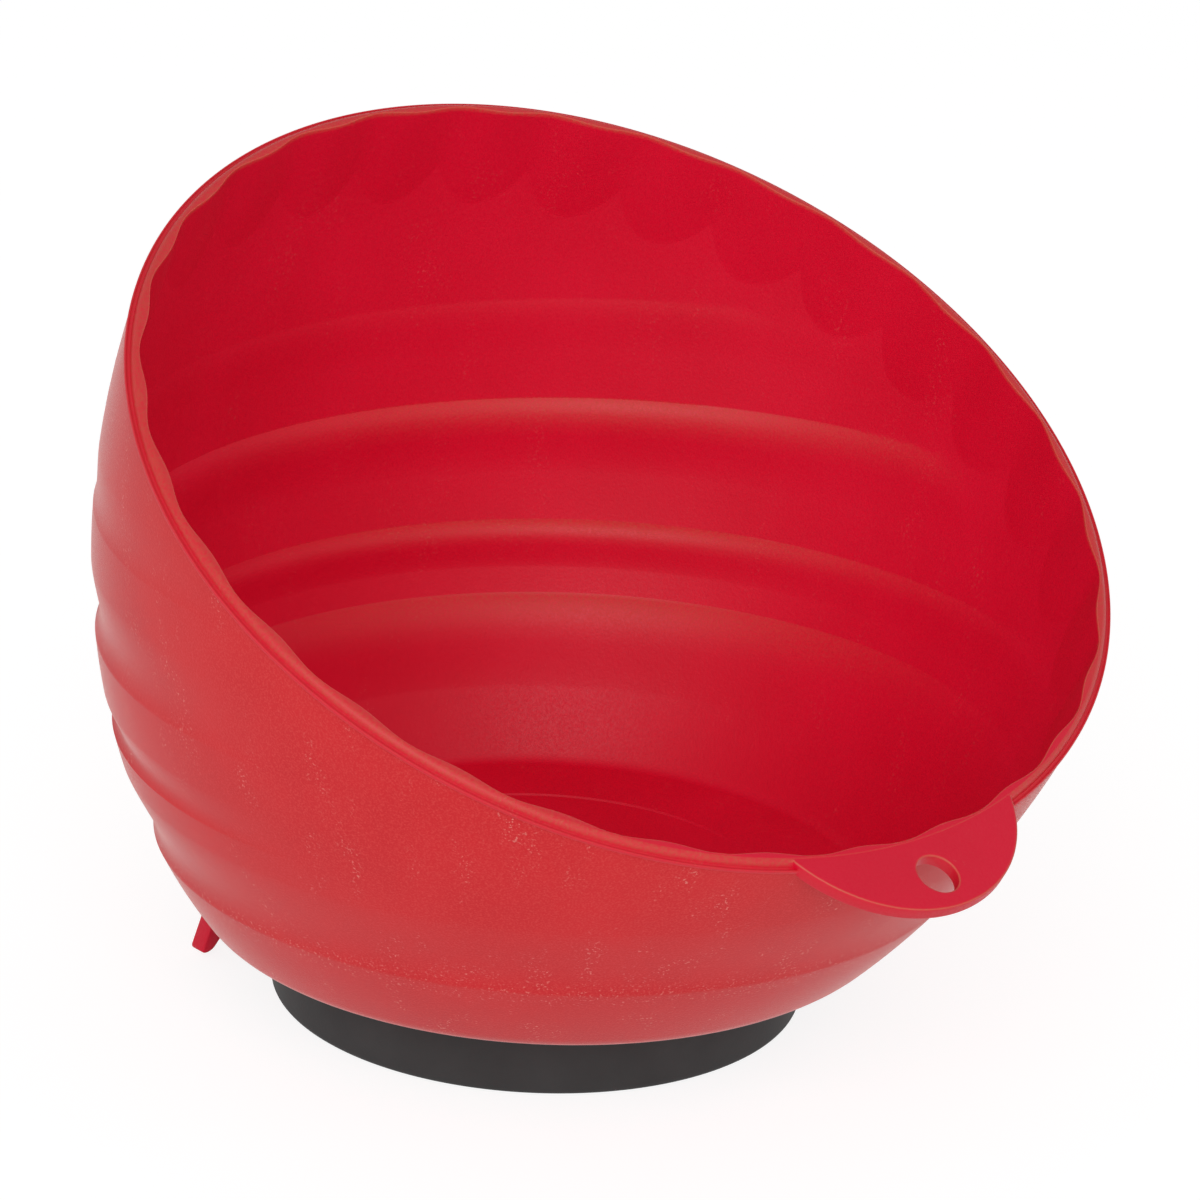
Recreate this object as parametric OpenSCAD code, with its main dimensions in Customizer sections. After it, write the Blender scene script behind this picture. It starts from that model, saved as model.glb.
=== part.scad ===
// Magnetic parts tray: a leaning, ringed bowl on a ring magnet in a rubber boot.
// Origin at the centre of the base's underside, +Z up, hanging tab towards -Y.

/* [Bowl] */
// Outer width of the bowl at its widest ring
bowl_w = 150; // [136:1:164]
// Height of the widest ring
belly_h = 87.3; // [84:0.1:91]
// How far the bowl's underside stands out round the boot
seat_overhang = 9.4; // [7:0.2:11]
// Height of the rounding between the underside and the wall
under_round_h = 2.6; // [1.6:0.1:3.2]
// Thickness of the bowl's wall
wall_t = 2.6; // [2:0.1:3.2]
// Thickness of the bowl's floor over the magnet
floor_t = 3.2; // [2.8:0.1:4]
// Lean of the bowl towards the tab, in degrees
lean_angle = 11.5; // [4:0.1:14]
// Height at which the lean starts
lean_start_h = 7; // [3:0.5:10]
// Depth of the ring grooves in the wall
groove_depth = 1.4; // [0.6:0.1:1.8]

/* [Rim] */
// Tilt of the rim from level, in degrees
rim_tilt = 30.2; // [24:0.1:33]
// Height of the rim's plane, on the lip, over the base's centre
rim_h = 94.4; // [89:0.1:100]
// Height of the lip over the band
lip_h = 1; // [0.6:0.1:1.4]
// How far the lip stands in from the wall's face
lip_in = 1.2; // [0.8:0.1:1.4]
// Height of the band round the rim
band_h = 0.5; // [0.4:0.1:2]
// How far the band stands out from the wall
band_out = 0.3; // [0.2:0.1:0.8]

/* [Tab] */
// Radius of the tab's outline
tab_r = 21.7; // [18:0.1:25]
// Reach of the tab past the rim
tab_reach = 10.4; // [8:0.1:12]
// Thickness of the tab
tab_t = 2; // [1.4:0.1:3]
// Diameter of the hanging hole
hole_d = 6.3; // [4:0.1:8]
// Distance of the hole's centre past the rim
hole_past_rim = 4.8; // [4.2:0.1:5.2]

/* [Feet] */
// Angle of each prop foot from the back, in degrees
foot_angle = 44; // [40:1:54]
// Distance of a foot's tip from the base's centre
foot_reach = 50.5; // [49:0.1:52]
// Thickness of a foot
foot_t = 3; // [2:0.1:3.6]
// Height of a foot's tip over the ground
foot_lift = 0.5; // [0.3:0.1:1.5]

/* [Base] */
// Height of the boot
boot_h = 12.2; // [11.4:0.1:12.5]
// Diameter of the boot's underside
boot_d = 77.6; // [72:0.2:82]
// How far the boot's side leans out over its height
boot_flare = 0.6; // [0.3:0.1:1.2]
// Thickness of the boot's wall round the magnet, at its foot
boot_wall_t = 2.6; // [2:0.1:3.2]
// Thickness of the rubber under the pole plate
boot_floor_t = 1.6; // [1.5:0.1:2]
// Bevel round the boot's lower edge
boot_bevel = 0.8; // [0.4:0.1:1.2]
// Thickness of the pole plate
plate_t = 1; // [0.8:0.1:1.5]
// How far the pole plate reaches into the boot's groove
plate_grip = 0.8; // [0.5:0.1:1]
// Diameter of the magnet's hole
magnet_hole_d = 32; // [26:0.5:36]
// Thickness of the magnet
magnet_t = 10; // [8:0.5:12]

/* [Screw] */
// Diameter of the screw's thread
screw_d = 4; // [3.5:0.1:4.5]
// Diameter of the screw's head
head_d = 8; // [7:0.1:8.6]
// Height of the screw's head
head_h = 2.6; // [2:0.1:3]
// Diameter of the flat washer
washer_d = 9; // [8.6:0.1:9.6]
// Thickness of the flat washer
washer_t = 0.8; // [0.6:0.1:1]
// Diameter of the spring washer
spring_d = 7.2; // [6.8:0.1:8]
// Thickness of the spring washer
spring_t = 0.9; // [0.7:0.1:1.1]
// How deep the screw's head lies under the floor
head_sink = 0.7; // [0.3:0.1:1]
// Thickness of the boss under the washers
boss_web_t = 3.6; // [3:0.1:4]
// Diameter of the boss under the floor
boss_d = 16; // [14:0.2:20]
// Diameter of the threaded bush
bush_d = 10; // [8:0.2:12]

/* [Hidden] */
$fn = 96;

// One overrun for all cuts
over = 6;
// Radial clearance of the screw and the washers
screw_clear = 0.2;
// Radial clearance of the magnet in the boot and in the bowl
magnet_clear = 0.2;
// Radial clearance of a thread and of the bush in its plate
thread_clear = 0.05;
// Side clearance of the washers in the floor's recess
recess_clear = 0.5;
// Gap left under the screw's tip
tip_clear = 0.3;
// Width of the cross slot in the screw's head
slot_w = 1;
// Length of each arm of the cross slot
slot_l = 4.4;
// Depth of the cross slot
slot_depth = 1.3;
// Width of the split in the spring washer
split_w = 0.8;
// Side clearance of the pole plate in the boot's groove
plate_clear = 0.2;
// How far the tab's top lies under the rim's top
tab_drop = 0.2;
// Width of a foot's tip
foot_tip_w = 2;
// How far a foot's root reaches up into the bowl's underside, and its gap to the boot
foot_root_h = 1.5;
foot_gap = 1.5;
// Height of the screw head's straight side and width of its flat crown, as shares of the head
head_side_share = 0.6;
head_crown_share = 0.7;
// Width of the bush's spigot in the pole plate, as a share of the bush
spigot_share = 0.7;

red = [0.78, 0.13, 0.17];
black = [0.2, 0.2, 0.2];
steel = [0.7, 0.71, 0.72];
ferrite = [0.25, 0.25, 0.27];
brass = [0.8, 0.66, 0.35];

// Heights of the grooves' lower and upper ends as shares of the widest ring's height, from the lowest up
groove_foot_shares = [0.298, 0.498, 0.667, 0.894];
groove_top_shares = [0.444, 0.569, 0.798, 0.987];
// A groove's depth over its height: steep at its foot, crisp at its top
groove_power = 6;
groove_peak_share = pow(1 / (groove_power + 1), 1 / groove_power);
groove_gain = 1 / (groove_peak_share * (1 - pow(groove_peak_share, groove_power)));
// Steps of the wall's outline in each groove, in each plain stretch and in the rounding under it
outline_steps = 5;

// Base, from the ground up
boot_r = boot_d / 2;
boot_top_r = boot_r + boot_flare;
boot_inner_r = boot_r - boot_wall_t;
magnet_r = boot_inner_r - magnet_clear;
plate_r = boot_inner_r + plate_grip;
plate_z = boot_floor_t;
magnet_z = plate_z + plate_t;
under_floor_h = magnet_z + magnet_t;
floor_h = under_floor_h + floor_t;

// Screw, from the floor down
screw_r = screw_d / 2;
spigot_r = bush_d / 2 * spigot_share;
recess_r = washer_d / 2 + recess_clear;
head_top_h = floor_h - head_sink;
head_under_h = head_top_h - head_h;
spring_under_h = head_under_h - spring_t;
washer_under_h = spring_under_h - washer_t;
boss_under_h = washer_under_h - boss_web_t;
screw_tip_h = plate_z + tip_clear;

// Wall: an oval that meets the boot's seat, sheared towards the tab
bowl_r = bowl_w / 2;
seat_r = boot_top_r + seat_overhang;
oval_half_h = (belly_h - boot_h) / sqrt(1 - pow(seat_r / bowl_r, 2));
lean = tan(lean_angle);
groove_feet = [for (s = groove_foot_shares) s * belly_h];
groove_tops = [for (s = groove_top_shares) s * belly_h];

// The rim's plane in the upright bowl, before it leans
rim_slope = tan(rim_tilt) / (1 + lean * tan(rim_tilt));
function upright_h(h) = (h + lean * lean_start_h * tan(rim_tilt)) / (1 + lean * tan(rim_tilt));

function oval_share(z) = (z - belly_h) / oval_half_h;
function oval_r(z) = bowl_r * sqrt(1 - pow(oval_share(z), 2));
function oval_slope(z) = -bowl_r / oval_half_h * oval_share(z) / sqrt(1 - pow(oval_share(z), 2));
function groove_share(t) = groove_gain * t * (1 - pow(t, groove_power));
function groove_in(z, foot, top) = z <= foot || z >= top ? 0 : groove_depth * groove_share((top - z) / (top - foot));
function groove_sum(z, i = 0) = i == len(groove_feet) ? 0
    : groove_in(z, groove_feet[i], groove_tops[i]) + groove_sum(z, i + 1);
function outer_r(z, ringed = true) = oval_r(z) - (ringed ? groove_sum(z) : 0);
function inner_r(z, ringed = true) = outer_r(z, ringed) - wall_t * sqrt(1 + pow(oval_slope(z), 2));

// Height of the rim's plane on the upright wall at an angle round the bowl, with +Y at 90 degrees
function rim_z(angle, turns = 14, z = rim_h) = turns == 0 ? z
    : rim_z(angle, turns - 1, upright_h(rim_h) + rim_slope * oval_r(z) * sin(angle));

// The rounding under the wall: an arc that touches the underside and the oval
round_top_h = boot_h + under_round_h;
round_turn = atan(oval_slope(round_top_h));
round_r = under_round_h / (1 - sin(round_turn));
round_middle_r = oval_r(round_top_h) - round_r * cos(round_turn);
rounding = [for (k = [0:outline_steps - 1]) let (a = -90 + (90 - round_turn) * k / outline_steps)
    [round_middle_r + round_r * cos(a), boot_h + round_r + round_r * sin(a)]];

top_h = rim_z(90) + over;
stops = concat([round_top_h], [for (i = [0:len(groove_feet) - 1]) each [groove_feet[i], groove_tops[i]]], [top_h]);
levels = [for (i = [0:len(stops) - 2]) for (k = [0:outline_steps - 1])
    stops[i] + (stops[i + 1] - stops[i]) * k / outline_steps];

// The rim's lowest point, and its distance from the base's axis down the rim's plane
low_z = rim_z(-90);
low_reach = (oval_r(low_z) + lean * (low_z - lean_start_h)) / cos(rim_tilt);
// The rim's highest point, in the same way, and the rim's curve beside the tab
high_z = rim_z(90);
high_reach = (oval_r(high_z) - lean * (high_z - lean_start_h)) / cos(rim_tilt);
rim_curve_r = pow(oval_r(rim_z(0)), 2) / ((low_reach + high_reach) / 2);

// Width that covers the whole bowl, for cutting at the rim's plane
cover_w = 2 * bowl_w;

module leaning() {
    multmatrix([[1, 0, 0, 0], [0, 1, -lean, lean * lean_start_h], [0, 0, 1, 0], [0, 0, 0, 1]])
        children();
}

// Everything inside the wall's outer face, which stands out by the spread
module wall_body(spread, ringed) {
    rotate_extrude()
        polygon(concat([[0, boot_h]], [for (p = rounding) [p[0] + spread, p[1]]],
            [for (z = levels) [outer_r(z, ringed) + spread, z]],
            [[outer_r(top_h, ringed) + spread, top_h], [0, top_h]]));
}

module bowl_space(ringed) {
    rotate_extrude()
        polygon(concat([[0, floor_h], [inner_r(floor_h, ringed), floor_h]],
            [for (z = levels) if (z > floor_h) [inner_r(z, ringed), z]],
            [[inner_r(top_h, ringed), top_h], [0, top_h]]));
}

// All the space over a plane that is parallel to the rim in the upright bowl, or under it with a drop of one
module beside_rim(h, drop = 0) {
    translate([0, 0, upright_h(h)])
        rotate([atan(rim_slope), 0, 0])
            translate([-cover_w / 2, -cover_w / 2, -drop * cover_w])
                cube(cover_w);
}

// The ringed wall up to the band, then the plain band and the lip on it
module upright_shell() {
    band_top_h = rim_h - lip_h / cos(rim_tilt);
    band_under_h = band_top_h - band_h / cos(rim_tilt);
    difference() {
        wall_body(0, true);
        bowl_space(true);
        beside_rim(band_under_h);
    }
    rim_ring(band_out, band_under_h, band_top_h);
    rim_ring(-lip_in, band_under_h, rim_h);
}

// A plain stretch of the wall between two heights of the rim's plane
module rim_ring(spread, under_h, over_h) {
    difference() {
        wall_body(spread, false);
        bowl_space(false);
        beside_rim(over_h);
        beside_rim(under_h, 1);
    }
}

// Stands its children on the rim's plane, with -Y running down to the tab
module on_rim() {
    translate([0, 0, rim_h])
        rotate([rim_tilt, 0, 0])
            children();
}

// The tab's plate ends in the middle of the lip
module tab() {
    on_rim()
        translate([0, 0, -tab_drop - tab_t])
            linear_extrude(tab_t)
                difference() {
                    translate([0, tab_r - low_reach - tab_reach])
                        circle(tab_r);
                    translate([0, rim_curve_r + (wall_t + lip_in) / 2 - low_reach])
                        circle(rim_curve_r);
                }
}

// A fin that stands across the back of the base, rooted in the wall and in the bowl's underside
module foot(side) {
    tip_x = foot_reach * sin(foot_angle);
    tip_y = foot_reach * cos(foot_angle);
    root_h = floor_h - floor_t / 2;
    root_y = tip_y + foot_t / 2 + lean * (root_h - lean_start_h);
    root_x = sqrt(pow(outer_r(root_h) - wall_t / 2, 2) - pow(root_y, 2));
    inner_x = sqrt(pow(boot_top_r + foot_gap, 2) - pow(tip_y - foot_t / 2, 2));
    translate([0, tip_y + foot_t / 2, 0])
        rotate([90, 0, 0])
            linear_extrude(foot_t)
                polygon([[side * tip_x, foot_lift], [side * root_x, root_h],
                    [side * inner_x, boot_h + foot_root_h], [side * (tip_x - foot_tip_w), foot_lift]]);
}

module bowl() color(red) {
    difference() {
        union() {
            difference() {
                leaning() upright_shell();
                translate([0, 0, boot_h - over])
                    cylinder(r = boot_inner_r, h = over + under_floor_h - boot_h);
            }
            translate([0, 0, boss_under_h])
                cylinder(r = boss_d / 2, h = under_floor_h + floor_t / 2 - boss_under_h);
            tab();
            for (side = [-1, 1])
                foot(side);
        }
        translate([0, 0, washer_under_h])
            cylinder(r = recess_r, h = floor_h - washer_under_h + over);
        translate([0, 0, boss_under_h - over])
            cylinder(r = screw_r + screw_clear, h = boss_web_t + 2 * over);
        on_rim()
            translate([0, -low_reach - hole_past_rim, -tab_t - over])
                cylinder(r = hole_d / 2, h = tab_t + 2 * over);
    }
}

module base_boot() color(black) {
    rotate_extrude()
        polygon([[0, 0], [boot_r - boot_bevel, 0], [boot_r, boot_bevel], [boot_top_r, boot_h],
            [boot_inner_r, boot_h], [boot_inner_r, magnet_z], [plate_r, magnet_z], [plate_r, plate_z],
            [0, plate_z]]);
}

module ring(outer, inner, z, h) {
    translate([0, 0, z])
        difference() {
            cylinder(r = outer, h = h);
            translate([0, 0, -over])
                cylinder(r = inner, h = h + 2 * over);
        }
}

module ring_magnet() color(ferrite) ring(magnet_r, magnet_hole_d / 2, magnet_z, magnet_t);

module pole_plate() color(steel) ring(plate_r - plate_clear, spigot_r + thread_clear, plate_z, plate_t);

module threaded_bush() color(brass) {
    difference() {
        union() {
            translate([0, 0, plate_z])
                cylinder(r = spigot_r, h = boss_under_h - plate_z);
            translate([0, 0, magnet_z])
                cylinder(r = bush_d / 2, h = boss_under_h - magnet_z);
        }
        translate([0, 0, plate_z - over])
            cylinder(r = screw_r + thread_clear, h = boss_under_h - plate_z + 2 * over);
    }
}

module centre_screw() color(steel) {
    difference() {
        union() {
            translate([0, 0, screw_tip_h])
                cylinder(r = screw_r, h = head_under_h - screw_tip_h);
            translate([0, 0, head_under_h])
                rotate_extrude()
                    polygon([[0, 0], [head_d / 2, 0], [head_d / 2, head_h * head_side_share],
                        [head_d / 2 * head_crown_share, head_h], [0, head_h]]);
        }
        for (angle = [0, 90])
            rotate(angle)
                translate([-slot_l / 2, -slot_w / 2, head_top_h - slot_depth])
                    cube([slot_l, slot_w, slot_depth + over]);
    }
}

module flat_washer() color(steel) ring(washer_d / 2, screw_r + screw_clear, washer_under_h, washer_t);

module spring_washer() color(steel) {
    difference() {
        ring(spring_d / 2, screw_r + screw_clear, spring_under_h, spring_t);
        translate([0, -split_w / 2, spring_under_h - over])
            cube([spring_d, split_w, spring_t + 2 * over]);
    }
}

bowl();
base_boot();
ring_magnet();
pole_plate();
threaded_bush();
centre_screw();
flat_washer();
spring_washer();
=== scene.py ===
import bmesh
import bpy
import math
from mathutils import Matrix, Vector


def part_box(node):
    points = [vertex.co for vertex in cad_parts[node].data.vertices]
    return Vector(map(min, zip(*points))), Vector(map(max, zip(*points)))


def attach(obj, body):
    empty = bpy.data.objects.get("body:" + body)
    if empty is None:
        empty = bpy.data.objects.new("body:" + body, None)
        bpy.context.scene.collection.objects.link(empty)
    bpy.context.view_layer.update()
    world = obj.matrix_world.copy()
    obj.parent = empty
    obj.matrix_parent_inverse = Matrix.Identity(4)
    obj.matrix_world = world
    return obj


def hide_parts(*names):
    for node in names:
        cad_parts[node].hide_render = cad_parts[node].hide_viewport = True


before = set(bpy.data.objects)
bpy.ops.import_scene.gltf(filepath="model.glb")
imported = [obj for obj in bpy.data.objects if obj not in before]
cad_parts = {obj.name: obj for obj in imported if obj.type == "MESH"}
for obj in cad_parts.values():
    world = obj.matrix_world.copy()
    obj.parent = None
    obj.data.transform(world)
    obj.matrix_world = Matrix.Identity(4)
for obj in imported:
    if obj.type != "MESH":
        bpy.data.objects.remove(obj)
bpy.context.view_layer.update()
mm = 0.001  # pieces are drawn in millimetres and scaled once at the end
print("frame loaded with", len(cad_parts), "nodes")


def nodeTop(name):
    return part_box(name)[1].z / mm


def nodeFoot(name):
    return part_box(name)[0].z / mm


def nodeRadius(name):
    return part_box(name)[1].x / mm


def newObject(name, data):
    thing = bpy.data.objects.new(name, data)
    bpy.context.scene.collection.objects.link(thing)
    return thing


def direction(azimuth, elevation):  # out from the tray, in degrees round from the tab's side
    turn = math.radians(azimuth)
    rise = math.radians(elevation)
    level = math.cos(rise)
    return Vector((math.sin(turn) * level, -math.cos(turn) * level, math.sin(rise)))


# camera, from the photo's viewing angle

cameraSet = {
    "azimuth": -40.94,  # degrees round the tray, 0 looks along +Y
    "elevation": 21.17,
    "roll": 2.84,
    "distance": 895.0,
    "lens": 186.5,
    "target": (0.0, 0.0, 51.6),
    "aimRight": 6.7,  # the tray sits left of and under the picture's middle
    "aimUp": 8.3,
}


def makeCamera():
    back = direction(cameraSet["azimuth"], cameraSet["elevation"])
    turn = math.radians(cameraSet["azimuth"])
    right = Vector((math.cos(turn), math.sin(turn), 0))
    up = back.cross(right)
    target = Vector(cameraSet["target"])
    place = target + back * cameraSet["distance"]
    aim = target + right * cameraSet["aimRight"] + up * cameraSet["aimUp"]
    roll = Matrix.Rotation(math.radians(cameraSet["roll"]), 3, "Z").to_quaternion()
    data = bpy.data.cameras.new("camera")
    data.lens = cameraSet["lens"]
    camera = newObject("camera", data)
    camera.location = place * mm
    camera.rotation_mode = "QUATERNION"
    camera.rotation_quaternion = (aim - place).to_track_quat("-Z", "Y") @ roll
    bpy.context.scene.camera = camera


makeCamera()
print("camera set")


# bowl: one section spun round, then leant towards the tab under the slanted rim

bowlForm = {
    "width": 150.0,
    "bellyHeight": 87.3,
    "seatOut": 9.4,  # how far the underside stands out round the boot
    "underRound": 2.6,  # height of the rounding between the underside and the wall
    "roundSteps": 8,
    "wall": 2.6,
    "rimWall": 1.2,  # the wall thins to this behind the pads
    "thinDepths": (3.0, 40.0),
    "floor": 3.2,
    "floorRound": 1.2,  # height of the rounding between the wall and the floor
    "lean": 11.5,  # degrees
    "leanStart": 7.0,
    "outerFeet": (26.0, 43.5, 58.2, 78.0),
    "outerTops": (38.8, 49.7, 69.7, 86.2),
    "outerDepths": (1.25, 1.0, 1.0, 0.3),
    "outerFronts": (0.45, 0.0, 0.0, 0.0),  # what is left of each depth at the tab
    "outerRises": (1.3, 1.4, 1.4, 1.4),
    "outerFalls": (3.0, 3.0, 3.0, 3.0),  # crisp at a groove's foot
    "outerSector": (0.55, -0.3),  # where the rings die out, from 1 at the back to -1 at the tab
    "innerFeet": (26.0, 43.5, 58.2, 78.0),
    "innerTops": (39.6, 50.7, 70.0, 86.2),
    "innerDepths": (1.35, 1.0, 1.0, 0.14),
    "innerFronts": (0.3, 0.3, 0.3, 0.3),
    "innerRises": (1.15, 1.4, 1.8, 1.8),
    "innerFalls": (4.0, 4.0, 4.0, 2.0),  # crisp at a groove's top, soft at its foot
    "innerSector": (0.8, 0.0),
    "rimTilt": 30.2,  # degrees
    "rimHeight": 94.4,
    "outerFade": (1.6, 7.0),  # the grooves die out over these depths under the rim
    "innerFade": (13.0, 24.0),
    "turns": 360,
    "wallSteps": 10,  # rows in each groove and in each plain stretch
    "squeeze": 6.0,  # rows gather in this stretch under the band and the pads
    "rimSolves": 16,  # steps that settle a height on the rim
    "columnSolves": 24,  # steps that settle a column's angle
    "sharp": 34.0,  # degrees between faces, from which an edge stays sharp
    "level": 0.99995,  # faces as square to the rim as this are shaded flat
}
rimForm = {
    # outwards from the plain oval, then depth under the rim's plane
    "band": ((0.0, 1.62), (0.05, 1.55), (0.27, 1.49), (0.32, 1.4), (0.32, 1.1), (0.28, 1.0),
             (0.18, 0.95)),
    "channel": ((0.08, 0.98), (0.01, 1.11), (-0.1, 1.18), (-0.38, 1.19), (-0.5, 1.13),
                (-0.57, 0.99)),
    "lip": ((-0.63, 0.74), (-0.73, 0.5), (-0.89, 0.3), (-1.11, 0.14), (-1.33, 0.05),
            (-1.46, 0.01)),
    # inwards from the wavy edge, then depth
    "edge": ((0.17, 0.0), (0.1, 0.012), (0.04, 0.03), (0.0, 0.11)),
    "padCount": 30,
    "padTurn": -1.2,  # degrees
    "padSwell": 1.25,
    "padWave": 0.8,
    "padLength": 17.0,
    "padTop": 0.1,
    "padRows": (0.03, 0.1, 0.25, 0.45, 0.65, 0.82, 0.94, 1.0),
    "underPadRows": (0.02, 0.08, 0.25, 0.55, 1.0),
    "underPad": 20.0,
}
baseForm = {
    "roundSteps": 7,
    "discRadius": 34.2,  # a low disc in the floor over the magnet
    "discStep": 0.25,
    "recessRadius": 5.0,
    "recessBevel": 0.35,
    "holeRadius": 2.2,
    "bossRadius": 8.0,
    "magnetGap": 0.2,
}

tabAngle = -math.pi / 2  # the tab's side of the bowl
backAngle = math.pi / 2
lean = math.tan(math.radians(bowlForm["lean"]))
tilt = math.radians(bowlForm["rimTilt"])
rimSpread = 1 + lean * math.tan(tilt)
bowlRadius = bowlForm["width"] / 2
bootHeight = nodeTop("base_boot")
seatRadius = nodeRadius("base_boot") + bowlForm["seatOut"]
seatShare = math.sqrt(1 - (seatRadius / bowlRadius) ** 2)
ovalHalf = (bowlForm["bellyHeight"] - bootHeight) / seatShare
underFloor = nodeTop("ring_magnet")
floorHeight = underFloor + bowlForm["floor"]


def smoothShare(value, low, high):  # 0 under low, 1 over high
    share = min(max((value - low) / (high - low), 0.0), 1.0)
    return share * share * (3 - 2 * share)


def wrapped(turn):  # the same turn, within half a circle to each side
    return (turn + math.pi) % math.tau - math.pi


def ovalRadius(z):
    return bowlRadius * math.sqrt(1 - ((z - bowlForm["bellyHeight"]) / ovalHalf) ** 2)


def ovalSlope(z):  # how much the oval widens upwards
    share = (bowlForm["bellyHeight"] - z) / ovalHalf
    return bowlRadius / ovalHalf * share / math.sqrt(1 - share * share)


def wallAcross(z, thick):  # a wall's thickness, measured level
    slope = ovalSlope(z)
    return thick * math.sqrt(1 + slope * slope)


def humped(share, rise, fall):  # rises from 0 and falls steeply back to 0 at 1
    peak = (rise / (rise + fall)) ** (1 / fall)
    return share ** rise * (1 - share ** fall) / (peak ** rise * (1 - peak ** fall))


def grooveAt(angle, z, side):
    back, tab = bowlForm[side + "Sector"]
    front = smoothShare(-math.sin(angle), -back, -tab)
    names = ("Feet", "Tops", "Depths", "Fronts", "Rises", "Falls")
    for foot, top, depth, left, rise, fall in zip(*[bowlForm[side + name] for name in names]):
        if foot < z < top:
            share = (top - z) / (top - foot)
            if side == "inner":
                share = 1 - share
            return depth * (1 - front + front * left) * humped(share, rise, fall)
    return 0.0


roundTop = bootHeight + bowlForm["underRound"]
roundTurn = math.atan(ovalSlope(roundTop))
roundRadius = bowlForm["underRound"] / (1 - math.sin(roundTurn))
roundMiddle = ovalRadius(roundTop) - roundRadius * math.cos(roundTurn)


def rimPlane(depth):  # the plane at a depth under the rim, before the bowl leans
    height = bowlForm["rimHeight"] - depth / math.cos(tilt)
    start = (height + lean * bowlForm["leanStart"] * math.tan(tilt)) / rimSpread
    return start, math.tan(tilt) / rimSpread


def heightOnRim(angle, out, depth):
    start, slope = rimPlane(depth)
    z = start
    for solve in range(bowlForm["rimSolves"]):
        z = start + slope * (ovalRadius(z) + out) * math.sin(angle)
    return z


def depthUnderRim(angle, radius, z):
    start, slope = rimPlane(0.0)
    return (start + slope * radius * math.sin(angle) - z) * rimSpread * math.cos(tilt)


def leant(angle, radius, z):
    shift = lean * (z - bowlForm["leanStart"])
    return Vector((radius * math.cos(angle), radius * math.sin(angle) - shift, z))


onRim = Matrix.Translation((0, 0, bowlForm["rimHeight"])) @ Matrix.Rotation(tilt, 4, "X")
fromRim = onRim.inverted()


def rimTurn(angle, depth):  # the angle seen from the middle of the slanted rim
    z = heightOnRim(angle, 0.0, depth)
    point = fromRim @ leant(angle, ovalRadius(z), z)
    return math.atan2(point.y - rimMiddle, point.x)


def columnAngle(column, depth):  # the mesh's columns stand evenly round the slanted rim
    turn = math.tau * column / bowlForm["turns"] + math.radians(rimForm["padTurn"]) + tabAngle
    angle = turn
    for solve in range(bowlForm["columnSolves"]):
        angle += wrapped(turn - rimTurn(angle, depth))
    return angle


def padSide(column):  # -1 and 1 where two pads meet, 0 in the middle of one
    share = column * rimForm["padCount"] / bowlForm["turns"] % 1.0
    return 2 * share - 1


def padReach(side):
    wave = rimForm["padWave"] / rimForm["padSwell"]
    return rimForm["padLength"] * math.sqrt(1 - wave * side * side)


def padSwell(side, share):  # smooth waves at the rim, pointed arches at the lower end
    smooth = (1 - math.cos(math.pi * side)) / 2
    wave = smooth + (side * side - smooth) * share
    fall = (share * padReach(side) / rimForm["padLength"]) ** 2
    return rimForm["padSwell"] * (1 - fall) - rimForm["padWave"] * wave


def gathered(level, edge, top):
    start = edge - bowlForm["squeeze"]
    if level <= start:
        return level
    return start + bowlForm["squeeze"] * (level - start) / (top - start)


def wallLevels(side, low, high):
    stops = [low]
    for foot, top in zip(bowlForm[side + "Feet"], bowlForm[side + "Tops"]):
        stops += [z for z in (foot, top) if low < z < high]
    stops.append(high)
    steps = bowlForm["wallSteps"]
    shares = [smoothShare(step, 0, steps) for step in range(steps)]  # closer at the creases
    levels = []
    for start, end in zip(stops, stops[1:]):
        levels += [start + (end - start) * share for share in shares]
    return levels + [high]


bandDepth = rimForm["band"][0][1]
lowZ = heightOnRim(tabAngle, 0.0, 0.0)
lowReach = (ovalRadius(lowZ) + lean * (lowZ - bowlForm["leanStart"])) / math.cos(tilt)
highZ = heightOnRim(backAngle, 0.0, 0.0)
highReach = (ovalRadius(highZ) - lean * (highZ - bowlForm["leanStart"])) / math.cos(tilt)
rimMiddle = (highReach - lowReach) / 2
outerTop = heightOnRim(backAngle, 0.0, bandDepth)
innerTop = heightOnRim(backAngle, -bowlForm["wall"], rimForm["underPad"])
roundFoot = floorHeight + bowlForm["floorRound"]
columns = range(bowlForm["turns"])
columnAngles = [columnAngle(column, 0.0) for column in columns]
innerAngles = [columnAngle(column, rimForm["underPad"]) for column in columns]


# each kind of row places a column's vertex from two values

def underRow(column, turn, unused):  # the rounding from the underside up into the wall
    radius = roundMiddle + roundRadius * math.cos(turn)
    z = bootHeight + roundRadius + roundRadius * math.sin(turn)
    return leant(columnAngles[column], radius, z)


def outerWall(column, level, unused):
    angle = columnAngles[column]
    edge = heightOnRim(angle, 0.0, bandDepth)
    z = gathered(level, edge, outerTop)
    fade = smoothShare(depthUnderRim(angle, ovalRadius(z), z), *bowlForm["outerFade"])
    return leant(angle, ovalRadius(z) - grooveAt(angle, z, "outer") * fade, z)


def rimRow(column, out, depth):
    angle = columnAngles[column]
    z = heightOnRim(angle, out, depth)
    return leant(angle, ovalRadius(z) + out, z)


def edgeRow(column, back, depth):  # the wavy inner edge of the lip
    return rimRow(column, back - bowlForm["rimWall"] - padSwell(padSide(column), 0.0), depth)


def innerAt(angle, z, depth, swell):
    thin = smoothShare(depth, *bowlForm["thinDepths"])
    wall = bowlForm["rimWall"] + (bowlForm["wall"] - bowlForm["rimWall"]) * thin
    fade = smoothShare(depth, *bowlForm["innerFade"])
    radius = ovalRadius(z) - wallAcross(z, wall) - grooveAt(angle, z, "inner") * fade - swell
    return leant(angle, radius, z)


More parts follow.
